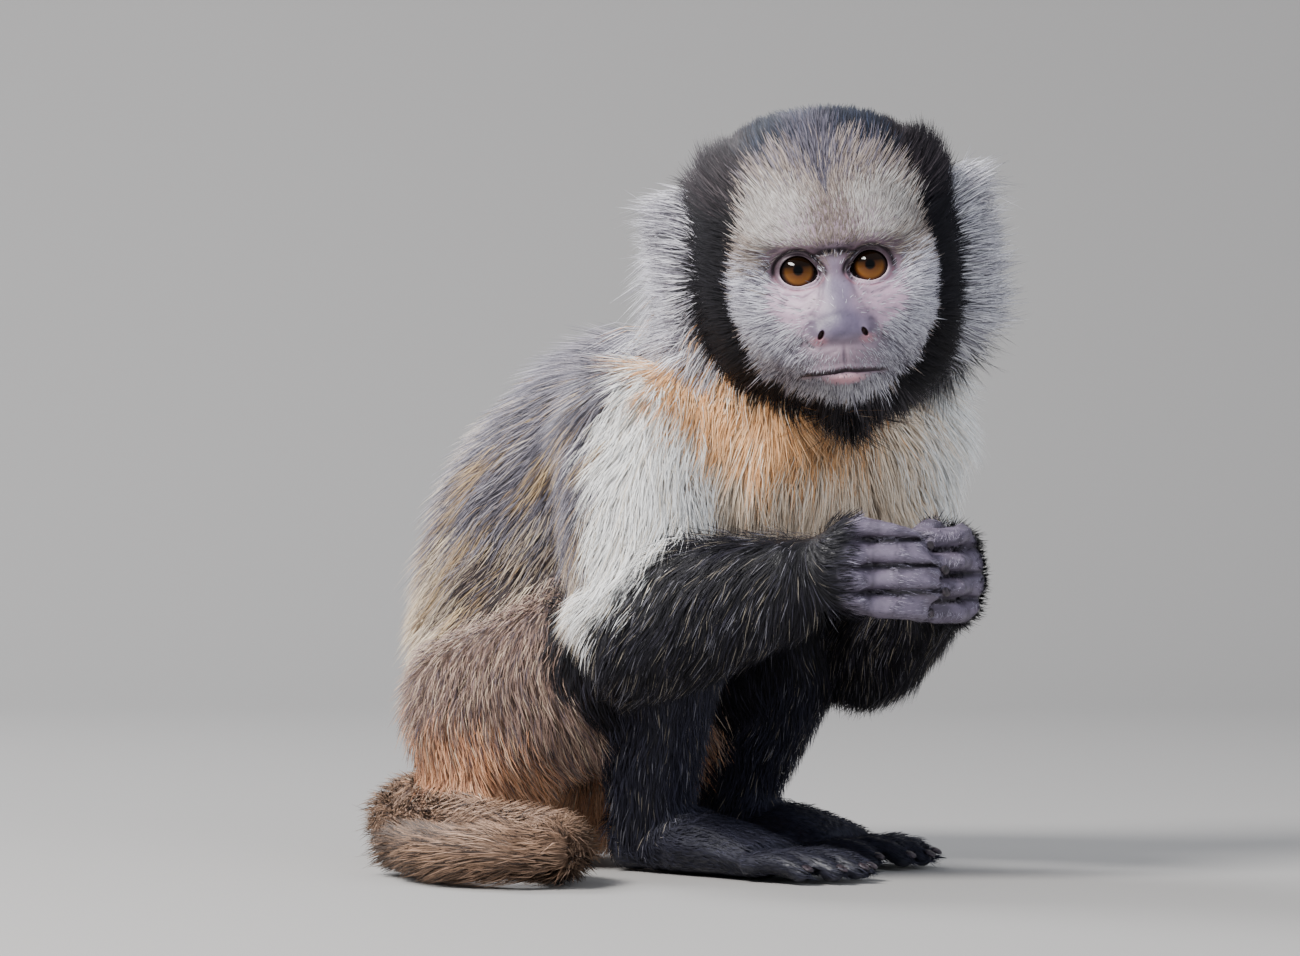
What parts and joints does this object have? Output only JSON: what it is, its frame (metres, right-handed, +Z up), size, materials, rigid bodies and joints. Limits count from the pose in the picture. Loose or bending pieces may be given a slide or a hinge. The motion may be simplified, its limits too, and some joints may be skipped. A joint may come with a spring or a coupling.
{
  "type": "capuchin monkey",
  "caption": "Still life-size capuchin monkey sitting hunched with forearms across its knees, hands together and tail curled beside it.",
  "frame": {"origin": "middle of the footprint box on the floor", "axes": "+Z up, the animal faces about -Y with its head turned to its right, +X is its left"},
  "size_m": [0.2166, 0.2414, 0.2669],
  "materials": {
    "brown_coat": "long soft grizzled brown fur",
    "cream_coat": "soft cream to golden-buff fur",
    "black_coat": "sleek black fur ticked with pale hairs",
    "head_coat": "short pale fur with a black cap and sideburns",
    "silver_coat": "long silver-white fringe",
    "bare_skin": "fine-wrinkled grey skin, thinly haired",
    "eye": "wet glossy amber-brown",
    "nail": "smooth dark horn"
  },
  "bodies": {
    "root": {"ear_L": "silver_coat", "ear_R": "silver_coat", "eye_L": "eye", "eye_R": "eye", "fingernail_L_1": "nail", "fingernail_L_2": "nail", "fingernail_L_3": "nail", "fingernail_L_4": "nail", "fingernail_L_5": "nail", "fingernail_R_1": "nail", "fingernail_R_2": "nail", "fingernail_R_3": "nail", "fingernail_R_4": "nail", "fingernail_R_5": "nail", "foot_L": "bare_skin", "foot_R": "bare_skin", "forearm_L": "black_coat", "forearm_R": "black_coat", "hand_L": "bare_skin", "hand_R": "bare_skin", "head": "head_coat", "neck": "cream_coat", "shank_L": "black_coat", "shank_R": "black_coat", "tail_1": "brown_coat", "tail_2": "brown_coat", "tail_3": "brown_coat", "tail_4": "brown_coat", "tail_5": "brown_coat", "thigh_L": "brown_coat", "thigh_R": "brown_coat", "toenail_L_1": "nail", "toenail_L_2": "nail", "toenail_L_3": "nail", "toenail_L_4": "nail", "toenail_L_5": "nail", "toenail_R_1": "nail", "toenail_R_2": "nail", "toenail_R_3": "nail", "toenail_R_4": "nail", "toenail_R_5": "nail", "trunk_back": "brown_coat", "trunk_chest": "brown_coat", "trunk_rump": "brown_coat", "upper_arm_L": "cream_coat", "upper_arm_R": "cream_coat"}
  },
  "joints": []
}
